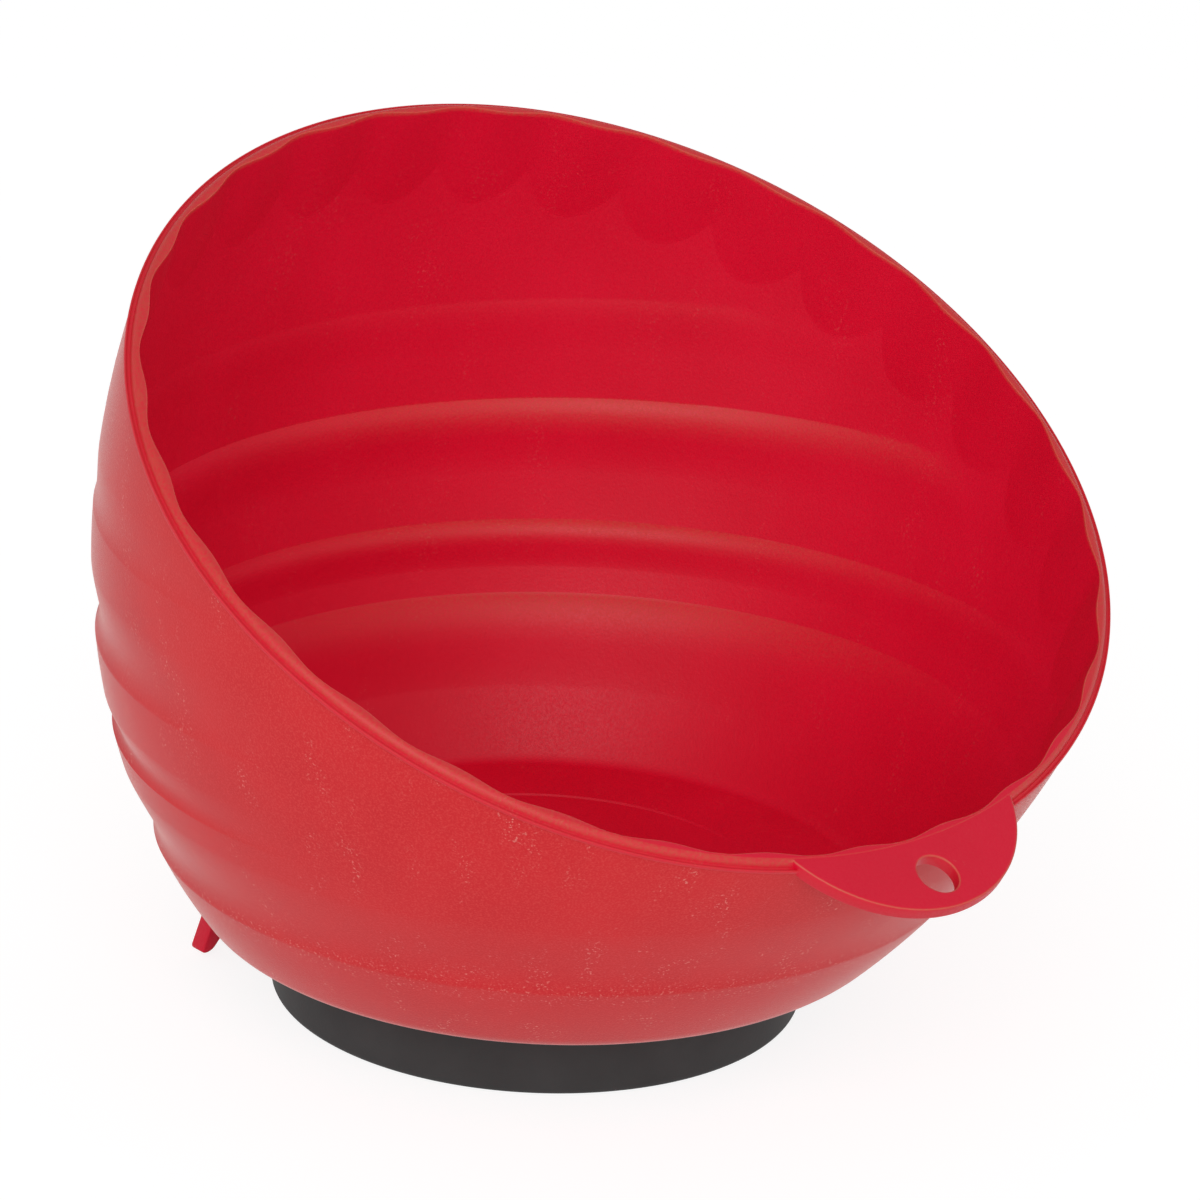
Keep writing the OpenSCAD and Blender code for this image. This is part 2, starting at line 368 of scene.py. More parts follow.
def innerUnderRim(column, depth, swell):  # the pads run square to the rim
    turn = wrapped(innerAngles[column] - columnAngles[column])
    angle = columnAngles[column] + turn * depth / rimForm["underPad"]
    return innerAt(angle, heightOnRim(angle, -bowlForm["wall"], depth), depth, swell)


def padRow(column, share, unused):
    side = padSide(column)
    depth = rimForm["padTop"] + share * (padReach(side) - rimForm["padTop"])
    return innerUnderRim(column, depth, padSwell(side, share))


def underPadRow(column, share, unused):
    start = padReach(padSide(column))
    return innerUnderRim(column, start + share * (rimForm["underPad"] - start), 0.0)


def innerWall(column, level, unused):
    angle = innerAngles[column]
    edge = heightOnRim(angle, -bowlForm["wall"], rimForm["underPad"])
    z = gathered(level, edge, innerTop)
    return innerAt(angle, z, depthUnderRim(angle, ovalRadius(z) - bowlForm["wall"], z), 0.0)


def floorRow(column, share, unused):  # the rounding from the wall down to the floor
    top = innerWall(column, roundFoot, 0.0)
    below = innerWall(column, roundFoot - 1.0, 0.0)  # a millimetre lower, for the wall's slope
    foot = top + (below - top) * bowlForm["floorRound"]
    foot.z = floorHeight
    end = foot * (1 - bowlForm["floorRound"] / foot.xy.length)
    end.z = floorHeight
    return top * (1 - share) ** 2 + foot * (2 * share * (1 - share)) + end * share ** 2


def baseRow(column, radius, z):
    angle = columnAngles[column]
    return Vector((radius * math.cos(angle), radius * math.sin(angle), z))


rowKinds = (underRow, outerWall, rimRow, edgeRow, padRow, underPadRow, innerWall, floorRow,
            baseRow)


def floorSection():  # from the floor's disc through the screw's recess to the magnet's seat
    step = baseForm["discStep"]
    disc = baseForm["discRadius"]
    discTop = floorHeight - step
    bevel = baseForm["recessBevel"]
    recess = baseForm["recessRadius"]
    webTop = nodeFoot("flat_washer")
    hole = baseForm["holeRadius"]
    boss = baseForm["bossRadius"]
    bossFoot = nodeTop("threaded_bush")
    magnetWall = nodeRadius("ring_magnet") + baseForm["magnetGap"]
    return [(disc + step, floorHeight), (disc, discTop), (disc - step, discTop),
            (recess + bevel, discTop), (recess, discTop - bevel), (recess, webTop),
            (hole, webTop), (hole, bossFoot), (boss, bossFoot), (boss, underFloor),
            (magnetWall, underFloor), (magnetWall, bootHeight)]


def bowlSection():
    rows = []
    for step in range(bowlForm["roundSteps"]):
        share = step / bowlForm["roundSteps"]
        rows.append((underRow, -math.pi / 2 + (math.pi / 2 - roundTurn) * share, 0.0))
    rows += [(outerWall, z, 0.0) for z in wallLevels("outer", roundTop, outerTop)]
    rim = rimForm["band"][1:] + rimForm["channel"] + rimForm["lip"]
    rows += [(rimRow, out, depth) for out, depth in rim]
    rows += [(edgeRow, back, depth) for back, depth in rimForm["edge"]]
    rows += [(padRow, share, 0.0) for share in rimForm["padRows"]]
    rows += [(underPadRow, share, 0.0) for share in rimForm["underPadRows"]]
    levels = wallLevels("inner", roundFoot, innerTop)[:-1]
    rows += [(innerWall, z, 0.0) for z in reversed(levels)]
    steps = baseForm["roundSteps"]
    rows += [(floorRow, (step + 1) / steps, 0.0) for step in range(steps)]
    return rows + [(baseRow, radius, z) for radius, z in floorSection()]


def pieceFrom(bm, name, scale=mm):
    bmesh.ops.scale(bm, vec=(scale,) * 3, verts=bm.verts)
    mesh = bpy.data.meshes.new(name)
    bm.to_mesh(mesh)
    bm.free()
    return newObject(name, mesh)


def spinRound(bm, geom, turns):
    bmesh.ops.spin(bm, geom=geom, cent=(0, 0, 0), axis=(0, 0, 1), dvec=(0, 0, 0),
                   angle=math.tau, steps=turns, use_merge=True, use_duplicate=False)


def makeShell():
    bm = bmesh.new()
    kind = bm.verts.layers.int.new("kind")
    first = bm.verts.layers.float.new("first")
    second = bm.verts.layers.float.new("second")
    section = []
    for place, a, b in bowlSection():
        vert = bm.verts.new(place(0, a, b))
        vert[kind] = rowKinds.index(place)
        vert[first] = a
        vert[second] = b
        section.append(vert)
    edges = [bm.edges.new(pair) for pair in zip(section, section[1:] + section[:1])]
    for vert in section:  # spun as a plain ring, so that each copy tells its column
        vert.co = Vector((vert.co.xy.length, 0.0, vert.co.z))
    turns = bowlForm["turns"]
    spinRound(bm, section + edges, turns)
    for vert in bm.verts:
        column = round(math.atan2(vert.co.y, vert.co.x) / math.tau * turns) % turns
        vert.co = rowKinds[vert[kind]](column, vert[first], vert[second])
    bmesh.ops.recalc_face_normals(bm, faces=bm.faces)
    bm.verts.layers.int.remove(bm.verts.layers.int["kind"])
    for name in ("first", "second"):
        bm.verts.layers.float.remove(bm.verts.layers.float[name])
    return pieceFrom(bm, "bowl_shell")


bowl = makeShell()
print("bowl shell:", len(bowl.data.polygons), "faces")


# hanging tab, a plate in the rim's plane

tabForm = {
    "radius": 21.7,
    "reach": 10.4,
    "top": -0.1,  # over the rim's plane
    "holeRadius": 3.15,
    "holePast": 4.8,  # the hole's middle lies this far past the rim
    "inner": 1.42,  # the plate runs this far in over the rim
    "span": 17.0,  # degrees to each side, past the corners
    "solves": 40,  # steps that settle a corner
    "steps": 96,
    "holeSteps": 72,
    # inwards from the outline, then depth under the top
    "edge": ((0.46, 0.0), (0.3, 0.018), (0.14, 0.05), (0.04, 0.14), (0.0, 0.26), (0.0, 0.34),
             (0.0, 1.8), (0.1, 2.02), (0.3, 2.1)),
    "holeEdge": ((0.4, 0.0), (0.26, 0.018), (0.12, 0.05), (0.03, 0.13), (0.0, 0.24), (0.0, 0.32),
                 (0.0, 1.85), (0.08, 2.03), (0.25, 2.1)),
}
tabMiddle = Vector((0.0, tabForm["radius"] - lowReach - tabForm["reach"]))


def plateInner(angle):  # the plate's inner edge on the rim, seen in the rim's plane
    out = -tabForm["inner"]
    z = heightOnRim(angle, out, 0.0)
    point = fromRim @ leant(angle, ovalRadius(z) + out, z)
    return point.xy


def tabOutline(inset):
    radius = tabForm["radius"] - inset
    low, high = 0.0, math.radians(tabForm["span"])
    for solve in range(tabForm["solves"]):  # where the free edge meets the rim
        half = (low + high) / 2
        if (plateInner(tabAngle + half) - tabMiddle).length < radius:
            low = half
        else:
            high = half
    corner = plateInner(tabAngle + half) - tabMiddle
    turn = math.atan2(corner.x, -corner.y)
    steps = tabForm["steps"]
    points = []
    for step in range(steps):  # round the free edge, then back along the rim
        side = turn - 2 * turn * step / steps
        points.append(tabMiddle + radius * Vector((math.sin(side), -math.cos(side))))
    for step in range(steps):
        points.append(plateInner(tabAngle - half + 2 * half * step / steps))
    return points


def addLoop(bm, points, z):
    verts = [bm.verts.new((point.x, point.y, z)) for point in points]
    return [bm.edges.new(pair) for pair in zip(verts, verts[1:] + verts[:1])]


def makeTab():
    bm = bmesh.new()
    top = tabForm["top"]
    outer = [addLoop(bm, tabOutline(inset), top - depth) for inset, depth in tabForm["edge"]]
    middle = Vector((0.0, -lowReach - tabForm["holePast"]))
    steps = tabForm["holeSteps"]
    turns = [math.tau * step / steps for step in range(steps)]
    circle = [Vector((math.cos(turn), math.sin(turn))) for turn in turns]
    hole = []
    for back, depth in tabForm["holeEdge"]:
        radius = tabForm["holeRadius"] + back
        hole.append(addLoop(bm, [middle + radius * spoke for spoke in circle], top - depth))
    for loops in (outer, hole):
        for upper, lower in zip(loops, loops[1:]):
            bmesh.ops.bridge_loops(bm, edges=upper + lower)
    for end in (0, -1):
        bmesh.ops.triangle_fill(bm, use_beauty=True, use_dissolve=False,
                                edges=outer[end] + hole[end])
    bmesh.ops.recalc_face_normals(bm, faces=bm.faces)
    bmesh.ops.transform(bm, matrix=onRim, verts=bm.verts)
    return pieceFrom(bm, "tab_plate")


tab = makeTab()
print("tab:", len(tab.data.polygons), "faces")


# prop feet, fins under the back of the bowl

footForm = {
    "angle": 44.0,  # degrees from the back
    "reach": 50.5,
    "thick": 3.0,
    "lift": 0.5,
    "tip": 2.0,
    "tipRound": 0.9,
    "tipSteps": 5,
    "rootHeight": 1.5,
    "gap": 1.5,
    "edge": 0.35,
    "edgeSteps": 3,
    "sharp": 60.0,  # degrees between faces, from which an edge is rounded
}


def bevelled(bm, geom, width, steps, affect):
    bmesh.ops.bevel(bm, geom=geom, offset=width, offset_type="OFFSET", segments=steps,
                    profile=0.5, affect=affect, material=-1, clamp_overlap=True)


def makeFoot(side):
    turn = math.radians(footForm["angle"])
    tipX = footForm["reach"] * math.sin(turn)
    tipY = footForm["reach"] * math.cos(turn)
    thick = footForm["thick"]
    nearY = tipY - thick / 2
    rootZ = floorHeight - bowlForm["floor"] / 2
    rootY = tipY + thick / 2 + lean * (rootZ - bowlForm["leanStart"])
    rootX = math.sqrt((ovalRadius(rootZ) - bowlForm["wall"] / 2) ** 2 - rootY ** 2)
    innerX = math.sqrt((nodeRadius("base_boot") + footForm["gap"]) ** 2 - nearY ** 2)
    innerZ = bootHeight + footForm["rootHeight"]
    lift = footForm["lift"]
    outline = ((tipX, lift), (rootX, rootZ), (innerX, innerZ), (tipX - footForm["tip"], lift))
    bm = bmesh.new()
    verts = [bm.verts.new((side * x, 0.0, z)) for x, z in outline]
    bm.faces.new(verts)
    bm.normal_update()
    bevelled(bm, [verts[0], verts[3]], footForm["tipRound"], footForm["tipSteps"], "VERTICES")
    bmesh.ops.solidify(bm, geom=bm.faces[:], thickness=thick)
    bmesh.ops.recalc_face_normals(bm, faces=bm.faces)
    lowest = min(vert.co.y for vert in bm.verts)
    bmesh.ops.translate(bm, vec=(0, nearY - lowest, 0), verts=bm.verts)
    sharp = math.radians(footForm["sharp"])
    rims = [edge for edge in bm.edges if edge.calc_face_angle(0.0) > sharp]
    bevelled(bm, rims, footForm["edge"], footForm["edgeSteps"], "EDGES")
    return pieceFrom(bm, "foot")


feet = [makeFoot(side) for side in (-1, 1)]
print("feet made")


def joined(piece, others, name):
    for other in others:
        union = piece.modifiers.new("union", "BOOLEAN")
        union.operation = "UNION"
        union.solver = "MANIFOLD"
        union.object = other
    graph = bpy.context.evaluated_depsgraph_get()
    mesh = bpy.data.meshes.new_from_object(piece.evaluated_get(graph))
    mesh.name = name
    result = newObject(name, mesh)
    for old in [piece] + others:
        bpy.data.objects.remove(old)
    return result


bowl = joined(bowl, [tab] + feet, "bowl_body")
print("bowl joined:", len(bowl.data.polygons), "faces")


def shadeSmooth(piece, sharp):
    piece.data.shade_smooth()
    piece.data.set_sharp_from_angle(angle=math.radians(sharp))


def flattenLevel(piece, normal):  # flat faces keep their own normal up to their edges
    for face in piece.data.polygons:
        if abs(face.normal.dot(normal)) > bowlForm["level"]:
            face.use_smooth = False


shadeSmooth(bowl, bowlForm["sharp"])
flattenLevel(bowl, onRim.to_3x3() @ Vector((0, 0, 1)))


# the grained outside ends under the band; the rim, the tab, the feet and the inside are smooth

wearAndHighlightForm = {
    "grainTop": 1.56,  # depth under the rim's plane
    "standOut": 0.45,  # what stands further out than this is a tab or a foot
    "outFacing": 0.05,  # faces of the outside look out at least this much,
    "downFacing": -0.9,  # or down
    "tabMargin": 0.1,
    "plateEdge": (0.03, 0.25),  # depths under the tab's top
    "plateFace": (0.25, 1.9),
    "overPlate": -0.01,  # the lip stands this far over the tab's top, or more
    "bandOut": -0.1,  # the band lies further out than this
    "bandEdge": (0.9, 1.12),
    "lipOut": -1.5,  # the lip's inner edge lies further in than this
    "lipEdge": (0.008, 0.12),
    "channelTop": 0.8,
    "flatOut": -2.7,  # the flat of the lip lies further out than this
    "flatLip": 0.015,
    "flatEnds": (-4.0, 14.0),
    "insideOut": -1.9,  # the inside of the wall lies further in than this
    # the tab's rounded top edge: worn tone and a pale painted highlight
    "plateWearAndHighlight": 0.72,
    "faceWear": 0.1,
    "bandWear": 0.25,
    # the lip's rounded inner edge: worn tone and a pale painted highlight
    "lipWearAndHighlight": 0.72,
    "rimWear": 0.5,
    "channelWear": 0.2,
    "flatWear": 0.45,  # the flat of the lip is less worn at the tab
    # painted highlight on the upper part of each inner ring, lighter and grainy
    "ledgeHighlight": 0.42,
    "ledgeOver": 0.01,
    "ledgeRise": (0.5, 1.0),  # shares of an inner ring's height
    "ledgeTurn": 50.0,  # degrees, the side where the painted highlight on the ledges is strongest, facing the camera and the key
    "ledgeSpread": 3.5,
}


def onBowl(point):  # how far out from the plain oval, how deep under the rim, and which way is out
    shift = lean * (point.z - bowlForm["leanStart"])
    flat = Vector((point.x, point.y + shift, 0.0))
    radius = flat.length
    depth = depthUnderRim(math.atan2(flat.y, flat.x), radius, point.z)
    return radius - ovalRadius(point.z), depth, flat.normalized()


def smoothFaces(piece):
    for face in piece.data.polygons:
        out, depth, outwards = onBowl(face.center / mm)
        facing = face.normal.dot(outwards) > wearAndHighlightForm["outFacing"]
        outer = facing or face.normal.z < wearAndHighlightForm["downFacing"]
        grained = outer and depth > wearAndHighlightForm["grainTop"] and out < wearAndHighlightForm["standOut"]
        face.material_index = 0 if grained else 1


def within(value, ends):
    return ends[0] < value < ends[1]


# painted highlight on the inner rings, strongest where the far wall faces the camera and the key
def ledgeHighlight(point, depth, outwards):
    turn = math.radians(wearAndHighlightForm["ledgeTurn"])
    facing = max(outwards.dot(Vector((math.cos(turn), math.sin(turn), 0.0))), 0.0)
    rings = zip(bowlForm["innerFeet"], bowlForm["innerTops"], bowlForm["innerDepths"])
    for foot, top, ledge in rings:
        if foot < point.z < top + wearAndHighlightForm["ledgeOver"]:
            rise = smoothShare((point.z - foot) / (top - foot), *wearAndHighlightForm["ledgeRise"])
            fade = smoothShare(depth, *bowlForm["innerFade"]) * min(ledge, 1.0)
            return wearAndHighlightForm["ledgeHighlight"] * rise * fade * facing ** wearAndHighlightForm["ledgeSpread"]
    return 0.0


# the worn tone of the rim and the tab, the pale painted highlights along their rounded edges, and
# the painted highlight on the inner rings
def wearAndHighlightAt(point):
    out, depth, outwards = onBowl(point)
    flat = fromRim @ point
    plate = tabForm["top"] - flat.z  # depth under the tab's top
    nearTab = (flat.xy - tabMiddle).length < tabForm["radius"] + wearAndHighlightForm["tabMargin"]
    onTab = nearTab and out > wearAndHighlightForm["lipOut"] and flat.y < tabMiddle.y
    offPlate = not (onTab and plate > wearAndHighlightForm["overPlate"])
    rimFace = within(depth, (wearAndHighlightForm["flatLip"], wearAndHighlightForm["grainTop"]))
    # the tab's rounded top edge and its hole's edge: worn tone with a pale painted highlight
    if onTab and within(plate, wearAndHighlightForm["plateEdge"]):
        return wearAndHighlightForm["plateWearAndHighlight"]
    if onTab and out > wearAndHighlightForm["standOut"] and within(plate, wearAndHighlightForm["plateFace"]):
        return wearAndHighlightForm["faceWear"]
    if out > wearAndHighlightForm["bandOut"] and within(depth, wearAndHighlightForm["bandEdge"]):
        return wearAndHighlightForm["bandWear"]
    # the lip's inner edge: worn tone with a pale painted highlight
    if out < wearAndHighlightForm["lipOut"] and within(depth, wearAndHighlightForm["lipEdge"]):
        return wearAndHighlightForm["lipWearAndHighlight"]
    if offPlate and out > wearAndHighlightForm["lipOut"] and rimFace:
        return wearAndHighlightForm["rimWear" if depth < wearAndHighlightForm["channelTop"] else "channelWear"]
    if offPlate and out > wearAndHighlightForm["flatOut"] and depth < wearAndHighlightForm["flatLip"]:
        return wearAndHighlightForm["flatWear"] * smoothShare(flat.y - tabMiddle.y, *wearAndHighlightForm["flatEnds"])
    # painted highlight on the ledges of the inner rings
    if out < wearAndHighlightForm["insideOut"] and depth > wearAndHighlightForm["grainTop"]:
        return ledgeHighlight(point, depth, outwards)
    return 0.0


# wear and painted highlights, kept as a vertex attribute that the materials read
def addWearAndHighlight(piece):
    wearAndHighlight = piece.data.attributes.new("worn_and_highlight", "FLOAT", "POINT")
    for vert in piece.data.vertices:
        wearAndHighlight.data[vert.index].value = wearAndHighlightAt(vert.co / mm)


addWearAndHighlight(bowl)


# rubber boot

bootForm = {
    "foot": 77.6,
    "lowEdge": 1.1,
    "topEdge": 0.3,
    "turns": 192,
    "arcSteps": 6,
    "weld": 0.0001,
    "sharp": 40.0,  # degrees
}


def arcRows(middle, radius, start, end):
    rows = []
    for step in range(bootForm["arcSteps"] + 1):
        turn = math.radians(start + (end - start) * step / bootForm["arcSteps"])
        rows.append((middle[0] + radius * math.cos(turn), middle[1] + radius * math.sin(turn)))
    return rows


def makeBoot():
    top = nodeTop("base_boot")
    topOut = nodeRadius("base_boot")
    plateTop = nodeTop("pole_plate")
    plateFoot = nodeFoot("pole_plate")
    footOut = bootForm["foot"] / 2
    inside = nodeRadius("ring_magnet") + baseForm["magnetGap"]
    groove = nodeRadius("pole_plate") + baseForm["magnetGap"]
    low = bootForm["lowEdge"]
    high = bootForm["topEdge"]
    flare = math.degrees(math.atan((topOut - footOut) / top))
    rows = [(0.0, 0.0), (footOut / 2, 0.0)]
    rows += arcRows((footOut - low, low), low, -90, -flare)
    rows += arcRows((topOut - high, top - high), high, -flare, 90)
    rows += [(inside, top), (inside, plateTop), (groove, plateTop), (groove, plateFoot),
             (inside / 2, plateFoot), (0.0, plateFoot)]
    bm = bmesh.new()
    verts = [bm.verts.new((x, 0.0, z)) for x, z in rows]
    edges = [bm.edges.new(pair) for pair in zip(verts, verts[1:])]
    spinRound(bm, verts + edges, bootForm["turns"])
    bmesh.ops.remove_doubles(bm, verts=bm.verts, dist=bootForm["weld"])
    bmesh.ops.recalc_face_normals(bm, faces=bm.faces)
    return pieceFrom(bm, "boot")


boot = makeBoot()
shadeSmooth(boot, bootForm["sharp"])
print("boot:", len(boot.data.polygons), "faces")


# materials; a noise is given as its size in mm, its detail and, if not plain, its roughness

bumpDepth = 0.0001  # metres


def grey(light):
    return (light, light, light, 1)


def newMaterial(name):
    material = bpy.data.materials.new(name)
    material.use_nodes = True
    tree = material.node_tree
    place = tree.nodes.new("ShaderNodeTexCoord").outputs["Object"]
    return material, tree, tree.nodes["Principled BSDF"], place


def noiseNode(tree, place, size, detail, roughness=0.5):
    noise = tree.nodes.new("ShaderNodeTexNoise")
    noise.inputs["Scale"].default_value = 1 / (size * mm)
    noise.inputs["Detail"].default_value = detail
    noise.inputs["Roughness"].default_value = roughness
    tree.links.new(place, noise.inputs["Vector"])
    return noise.outputs["Fac"]


def rampNode(tree, value, ends, colours):
    ramp = tree.nodes.new("ShaderNodeValToRGB")
    for element, end, colour in zip(ramp.color_ramp.elements, ends, colours):
        element.position = end
        element.color = colour
    tree.links.new(value, ramp.inputs["Fac"])
    return ramp.outputs["Color"]


def socketOf(sockets, identifier):
    return [socket for socket in sockets if socket.identifier == identifier][0]


def blendNode(tree, share, colour, other):
    mix = tree.nodes.new("ShaderNodeMix")
    mix.data_type = "RGBA"
    tree.links.new(share, mix.inputs["Factor"])
    tree.links.new(colour, socketOf(mix.inputs, "A_Color"))
    socketOf(mix.inputs, "B_Color").default_value = other
    return socketOf(mix.outputs, "Result_Color")


def mathNode(tree, kind, first, second):
    node = tree.nodes.new("ShaderNodeMath")
    node.operation = kind
    for socket, value in zip(node.inputs, (first, second)):
        if isinstance(value, float):
            socket.default_value = value
        else:
            tree.links.new(value, socket)
    return node.outputs[0]


def shareNode(tree, value, low, high):  # 0 under low, 1 over high
    share = tree.nodes.new("ShaderNodeMapRange")
    share.inputs["From Min"].default_value = low
    share.inputs["From Max"].default_value = high
    tree.links.new(value, share.inputs["Value"])
    return share.outputs["Result"]


def addBump(tree, shader, height, strength):
    bump = tree.nodes.new("ShaderNodeBump")
    bump.inputs["Strength"].default_value = strength
    bump.inputs["Distance"].default_value = bumpDepth
    tree.links.new(height, bump.inputs["Height"])
    tree.links.new(bump.outputs["Normal"], shader.inputs["Normal"])


def setSockets(shader, values):
    for name, value in values.items():
        shader.inputs[name].default_value = value


redSet = {
    "tone": (18, 3),
    "toneEnds": (0.35, 0.7),
    "roughEnds": (0.35, 0.7),
    # worn tone, also the colour of the painted highlight on the inner ledges
    "worn_and_highlight": (0.57, 0.07, 0.042, 1),
    "grainyEnds": (0.38, 0.62),  # worn places and the painted highlights are grainy
    "grainyLeast": 0.55,
    "grainyMore": 0.9,
    "edgeLine": (0.74, 0.12, 0.085, 1),  # a pale painted highlight along the rounded edges of the tab and the lip, over their worn tone
    "edgeEnds": (0.6, 0.9),
    "edgePolish": 0.06,
    "dust": (0.80, 0.36, 0.30, 1),
    "speck": (0.42, 2),
    "speckEnds": (0.6, 0.7),
    "patch": (5, 2),
    "patchEnds": (0.55, 0.7),
    "patchScale": (1, 1, 0.24),  # the patches run up and down
}
grainedSet = {
    "colours": ((0.61, 0.008, 0.014, 1), (0.66, 0.012, 0.018, 1)),
    "grain": (0.3, 3, 0.6),
    "speckle": (0.69, 0.05, 0.05, 1),
    "speckleEnds": (0.45, 0.75),
    "roughs": (0.46, 0.58),
    "bump": 0.5,
    "dustShare": 0.6,
    "dustLine": (24.2, 27.0),  # mm, dust lies along the lowest groove
    "dustFades": (1, 2),  # mm under and over it
    "lineShare": 0.7,
    "sockets": {
        "Specular IOR Level": 0.3,
        "Sheen Weight": 0.64,
        "Sheen Roughness": 0.22,
        "Sheen Tint": (1.0, 0.86, 0.82, 1),
    },
}
smoothSet = {
    "colours": ((0.69, 0.001, 0.027, 1), (0.73, 0.002, 0.032, 1)),
    "grain": (0.42, 3, 0.6),
    "roughs": (0.44, 0.62),
    "bump": 0.4,
    "dustShare": 0.08,
    "sockets": {"Specular IOR Level": 0.35},
}


def dustLine(tree, place, spec):
    axes = tree.nodes.new("ShaderNodeSeparateXYZ")
    tree.links.new(place, axes.inputs[0])
    height = axes.outputs["Z"]
    low, high = spec["dustLine"]
    under, over = spec["dustFades"]
    rise = shareNode(tree, height, (low - under) * mm, low * mm)
    fall = shareNode(tree, height, (high + over) * mm, high * mm)
    return mathNode(tree, "MULTIPLY", mathNode(tree, "MULTIPLY", rise, fall), spec["lineShare"])


def dustOver(tree, place, spec):
    drawn = tree.nodes.new("ShaderNodeMapping")
    drawn.inputs["Scale"].default_value = redSet["patchScale"]
    tree.links.new(place, drawn.inputs["Vector"])
    speck = noiseNode(tree, place, *redSet["speck"])
    speck = shareNode(tree, speck, *redSet["speckEnds"])
    patch = noiseNode(tree, drawn.outputs["Vector"], *redSet["patch"])
    patch = shareNode(tree, patch, *redSet["patchEnds"])
    if "dustLine" in spec:
        patch = mathNode(tree, "MAXIMUM", patch, dustLine(tree, place, spec))
    share = mathNode(tree, "MULTIPLY", speck, patch)
    return mathNode(tree, "MULTIPLY", share, spec["dustShare"])


def redPlastic(name, spec):
    material, tree, shader, place = newMaterial(name)
    tone = noiseNode(tree, place, *redSet["tone"])
    colour = rampNode(tree, tone, redSet["toneEnds"], spec["colours"])
    grain = noiseNode(tree, place, *spec["grain"])
    if "speckle" in spec:
        speckles = shareNode(tree, grain, *spec["speckleEnds"])
        colour = blendNode(tree, speckles, colour, spec["speckle"])
    # the attribute mixes in the worn tone and the painted highlights; its highest values give the
    # pale painted edge line
    attribute = tree.nodes.new("ShaderNodeAttribute")
    attribute.attribute_name = "worn_and_highlight"
    worn_and_highlight = attribute.outputs["Fac"]
    grainy = shareNode(tree, grain, *redSet["grainyEnds"])
    grainy = mathNode(tree, "MULTIPLY", grainy, redSet["grainyMore"])
    grainy = mathNode(tree, "ADD", grainy, redSet["grainyLeast"])
    grainyShare = mathNode(tree, "MULTIPLY", worn_and_highlight, grainy)
    colour = blendNode(tree, grainyShare, colour, redSet["worn_and_highlight"])
    line = shareNode(tree, worn_and_highlight, *redSet["edgeEnds"])
    colour = blendNode(tree, line, colour, redSet["edgeLine"])
    colour = blendNode(tree, dustOver(tree, place, spec), colour, redSet["dust"])
    tree.links.new(colour, shader.inputs["Base Color"])
    roughs = [grey(rough) for rough in spec["roughs"]]
    rough = rampNode(tree, grain, redSet["roughEnds"], roughs)
    polish = mathNode(tree, "MULTIPLY", worn_and_highlight, redSet["edgePolish"])
    tree.links.new(mathNode(tree, "SUBTRACT", rough, polish), shader.inputs["Roughness"])
    addBump(tree, shader, grain, spec["bump"])
    setSockets(shader, spec["sockets"])
    return material


rubberSet = {
    "tone": (9, 4),
    "toneEnds": (0.3, 0.75),
    "colours": ((0.030, 0.028, 0.028, 1), (0.042, 0.040, 0.040, 1)),
    "grain": (0.5, 3),
    "bump": 0.25,
    "sockets": {"Roughness": 0.68, "Specular IOR Level": 0.35},
}
zincSet = {
    "tone": (2, 4),
    "toneEnds": (0.3, 0.7),
    "colours": ((0.50, 0.51, 0.52, 1), (0.62, 0.63, 0.63, 1)),
    "roughs": (0.28, 0.4),
    "sockets": {"Metallic": 1.0},
}
ferriteSet = {
    "tone": (1.2, 5),
    "toneEnds": (0.3, 0.7),
    "colours": ((0.04, 0.04, 0.043, 1), (0.065, 0.065, 0.068, 1)),
    "sockets": {"Roughness": 0.6},
}
brassSet = {
    "tone": (1.5, 4),
    "toneEnds": (0.3, 0.7),
    "colours": ((0.58, 0.41, 0.14, 1), (0.68, 0.5, 0.2, 1)),
    "sockets": {"Roughness": 0.32, "Metallic": 1.0},
}


def tonedMaterial(name, spec):
    material, tree, shader, place = newMaterial(name)
    tone = noiseNode(tree, place, *spec["tone"])
    colour = rampNode(tree, tone, spec["toneEnds"], spec["colours"])
    tree.links.new(colour, shader.inputs["Base Color"])
    if "roughs" in spec:
        roughs = [grey(rough) for rough in spec["roughs"]]
        rough = rampNode(tree, tone, spec["toneEnds"], roughs)
        tree.links.new(rough, shader.inputs["Roughness"])
    if "bump" in spec:
        addBump(tree, shader, noiseNode(tree, place, *spec["grain"]), spec["bump"])
    setSockets(shader, spec["sockets"])
    return material


def dress(piece, *materials):
    piece.data.materials.clear()
    for material in materials:
        piece.data.materials.append(material)


dress(bowl, redPlastic("red_grained", grainedSet), redPlastic("red_smooth", smoothSet))
smoothFaces(bowl)
dress(boot, tonedMaterial("black_rubber", rubberSet))
steel = tonedMaterial("zinc_steel", zincSet)
for name in ("pole_plate", "centre_screw", "flat_washer", "spring_washer"):
    dress(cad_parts[name], steel)
dress(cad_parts["ring_magnet"], tonedMaterial("ferrite", ferriteSet))
dress(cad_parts["threaded_bush"], tonedMaterial("bush_brass", brassSet))
print("materials set")

for piece, node, slot in ((bowl, "bowl", "red_plastic"), (boot, "base_boot", "black_rubber")):
    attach(piece, "root")
    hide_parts(node)


# floor, light and backdrop, in metres

stageSet = {
    "floorHalf": 6.0,
    "floorDrop": 0.00005,  # keeps the floor and the boot's underside apart
    "floorShade": 0.26,  # share of the floor's white that takes the shadow
    "floorGlow": 0.84,
    "floorPlain": 0.8,  # the floor as it lights the tray
    "sky": ((0.0, 1.0), (0.25, 0.82), (0.7, 0.44), (1.0, 0.44)),  # height, then brightness
    "keyAzimuth": -45.0,  # degrees, as the camera's
    "keyElevation": 32.0,
    "keyDistance": 1.4,
    "keySize": 1.1,
    "keyPower": 8.2,
}


def litNode(tree, kind, light):
    node = tree.nodes.new(kind)
    node.inputs["Color"].default_value = grey(light)
    return node.outputs[0]


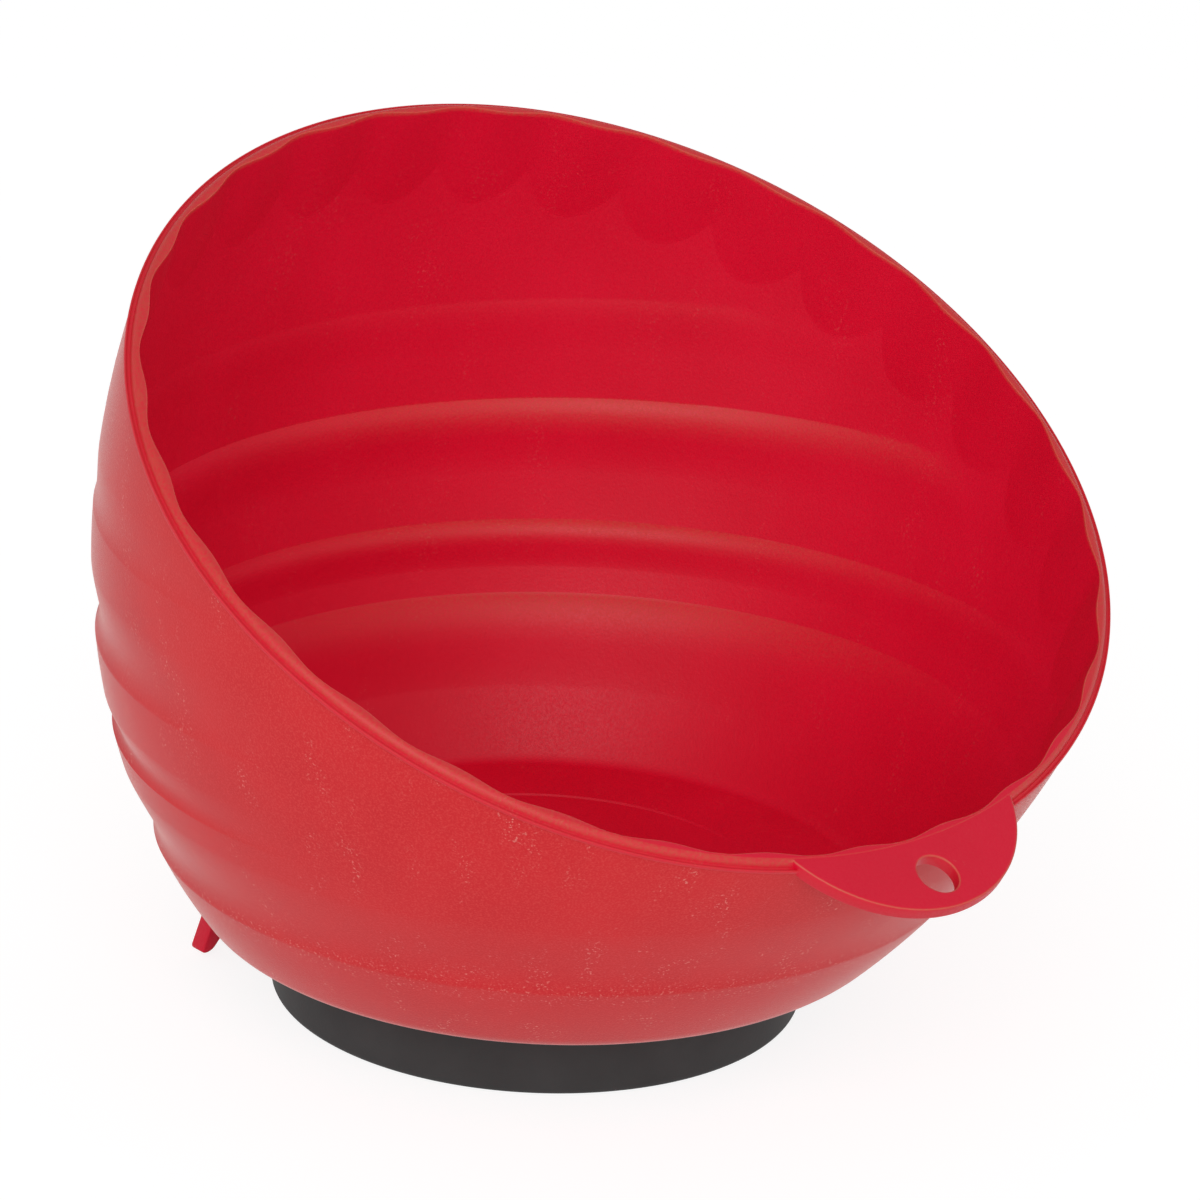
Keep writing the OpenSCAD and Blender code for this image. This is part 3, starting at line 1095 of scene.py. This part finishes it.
def makeFloor():
    bm = bmesh.new()
    bmesh.ops.create_grid(bm, x_segments=1, y_segments=1, size=stageSet["floorHalf"])
    bmesh.ops.translate(bm, vec=(0, 0, -stageSet["floorDrop"]), verts=bm.verts)
    floor = pieceFrom(bm, "floor", 1.0)
    material = bpy.data.materials.new("floor_white")
    material.use_nodes = True
    tree = material.node_tree
    tree.nodes.clear()
    path = tree.nodes.new("ShaderNodeLightPath")
    seen = path.outputs["Is Camera Ray"]
    for ray in ("Is Glossy Ray", "Is Transmission Ray"):
        seen = mathNode(tree, "MAXIMUM", seen, path.outputs[ray])
    shade = litNode(tree, "ShaderNodeBsdfDiffuse", stageSet["floorShade"])
    glow = litNode(tree, "ShaderNodeEmission", stageSet["floorGlow"])
    plain = litNode(tree, "ShaderNodeBsdfDiffuse", stageSet["floorPlain"])
    shown = tree.nodes.new("ShaderNodeAddShader")
    mix = tree.nodes.new("ShaderNodeMixShader")
    for node, values in ((shown, (shade, glow)), (mix, (seen, plain, shown.outputs[0]))):
        for value, socket in zip(values, node.inputs):
            tree.links.new(value, socket)
    output = tree.nodes.new("ShaderNodeOutputMaterial")
    tree.links.new(mix.outputs[0], output.inputs["Surface"])
    floor.data.materials.append(material)


def makeWorld():
    world = bpy.data.worlds.new("studio")
    world.use_nodes = True
    nodes = world.node_tree.nodes
    links = world.node_tree.links
    height = nodes.new("ShaderNodeSeparateXYZ")
    links.new(nodes.new("ShaderNodeTexCoord").outputs["Generated"], height.inputs[0])
    sky = nodes.new("ShaderNodeValToRGB")
    ramp = sky.color_ramp
    while len(ramp.elements) < len(stageSet["sky"]):
        ramp.elements.new(0.5)  # placed below
    for element, (place, light) in zip(ramp.elements, stageSet["sky"]):
        element.position = place
        element.color = grey(light)
    links.new(height.outputs["Z"], sky.inputs["Fac"])
    links.new(sky.outputs["Color"], nodes["Background"].inputs["Color"])
    bpy.context.scene.world = world


def makeKey():
    towards = direction(stageSet["keyAzimuth"], stageSet["keyElevation"])
    data = bpy.data.lights.new("key", "AREA")
    data.shape = "DISK"
    data.size = stageSet["keySize"]
    data.energy = stageSet["keyPower"]
    key = newObject("key", data)
    key.location = towards * stageSet["keyDistance"]
    key.rotation_mode = "QUATERNION"
    key.rotation_quaternion = (-towards).to_track_quat("-Z", "Y")


makeFloor()
makeWorld()
makeKey()
bpy.context.scene.view_settings.view_transform = "Standard"
print("stage set")
